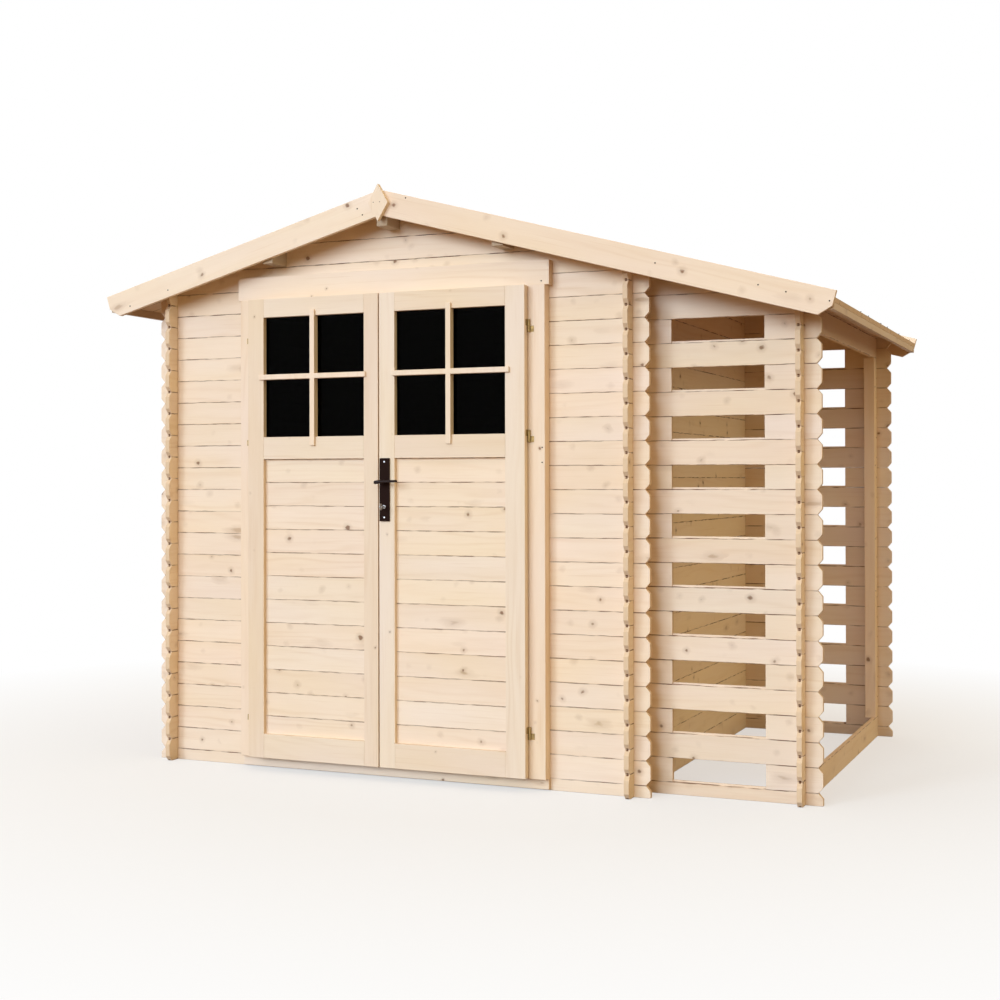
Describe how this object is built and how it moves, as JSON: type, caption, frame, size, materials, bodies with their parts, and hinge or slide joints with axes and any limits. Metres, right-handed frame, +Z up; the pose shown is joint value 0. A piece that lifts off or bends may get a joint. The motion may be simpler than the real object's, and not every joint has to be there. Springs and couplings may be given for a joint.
{
  "type": "log shed with log store",
  "caption": "Garden shed of interlocking logs with a double glazed door, and a slatted open-sided log store under the same gable roof.",
  "frame": {"origin": "middle of the overall plan, on the ground", "axes": "+X to the right along the front wall, +Y to the back, +Z up"},
  "size_m": [2.968, 2.059, 2.274],
  "materials": {
    "log_timber": "planed untreated pine",
    "roof_timber": "planed untreated pine",
    "trim_timber": "planed untreated pine",
    "frame_timber": "planed untreated pine",
    "door_timber": "planed untreated pine",
    "floor_timber": "planed untreated pine",
    "glass": "clear, dark from outside",
    "black_metal": "satin black",
    "hinge_metal": "yellow zinc",
    "key_metal": "satin nickel"
  },
  "bodies": {
    "building": {"back_corner_stubs": "log_timber", "back_finial": "trim_timber", "back_gable": "log_timber", "back_left_bargeboard": "trim_timber", "back_right_bargeboard": "trim_timber", "back_wall": "log_timber", "door_head": "frame_timber", "door_lintel": "frame_timber", "door_sill": "frame_timber", "floor_bearers": "floor_timber", "floor_boards": "floor_timber", "front_corner_stubs": "log_timber", "front_finial": "trim_timber", "front_gable": "log_timber", "front_ground_log": "log_timber", "front_left_bargeboard": "trim_timber", "front_right_bargeboard": "trim_timber", "front_wall_left": "log_timber", "front_wall_right": "log_timber", "left_door_post": "frame_timber", "left_eave_strips": "trim_timber", "left_frame_hinges": "hinge_metal", "left_roof_boards": "roof_timber", "left_wall": "log_timber", "log_store_back_blocks": "log_timber", "log_store_blocks": "log_timber", "log_store_gable": "log_timber", "log_store_header": "log_timber", "log_store_jambs": "log_timber", "log_store_sill": "log_timber", "log_store_slats": "log_timber", "partition_wall": "log_timber", "ridge_purlin": "roof_timber", "right_door_post": "frame_timber", "right_eave_strips": "trim_timber", "right_frame_hinges": "hinge_metal", "right_roof_boards": "roof_timber", "side_purlins": "roof_timber"},
    "left_leaf": {"left_leaf_frame": "door_timber", "left_leaf_panel": "door_timber", "left_leaf_glass": "glass", "left_glazing_bars": "door_timber", "left_leaf_hinges": "hinge_metal"},
    "right_leaf": {"right_leaf_frame": "door_timber", "right_leaf_panel": "door_timber", "right_leaf_glass": "glass", "right_glazing_bars": "door_timber", "right_leaf_hinges": "hinge_metal", "handle_plate": "black_metal", "lock_and_key": "key_metal"},
    "lever": {"lever_handle": "black_metal"}
  },
  "joints": [
    {"name": "left_leaf_hinge", "type": "hinge", "parent": "building", "child": "left_leaf", "pos_m": [-0.8418, -0.9333, 0.959], "axis": [0, 0, -1], "range_deg": [0, 100]},
    {"name": "right_leaf_hinge", "type": "hinge", "parent": "building", "child": "right_leaf", "pos_m": [0.3503, -0.9333, 0.959], "axis": [0, 0, 1], "range_deg": [0, 100]},
    {"name": "lever_turn", "type": "hinge", "parent": "right_leaf", "child": "lever", "pos_m": [-0.22775, -0.9901, 1.143], "axis": [0, 1, 0], "range_deg": [0, 40], "stiffness_Nm_per_rad": 1, "springref_deg": -11.46}
  ]
}
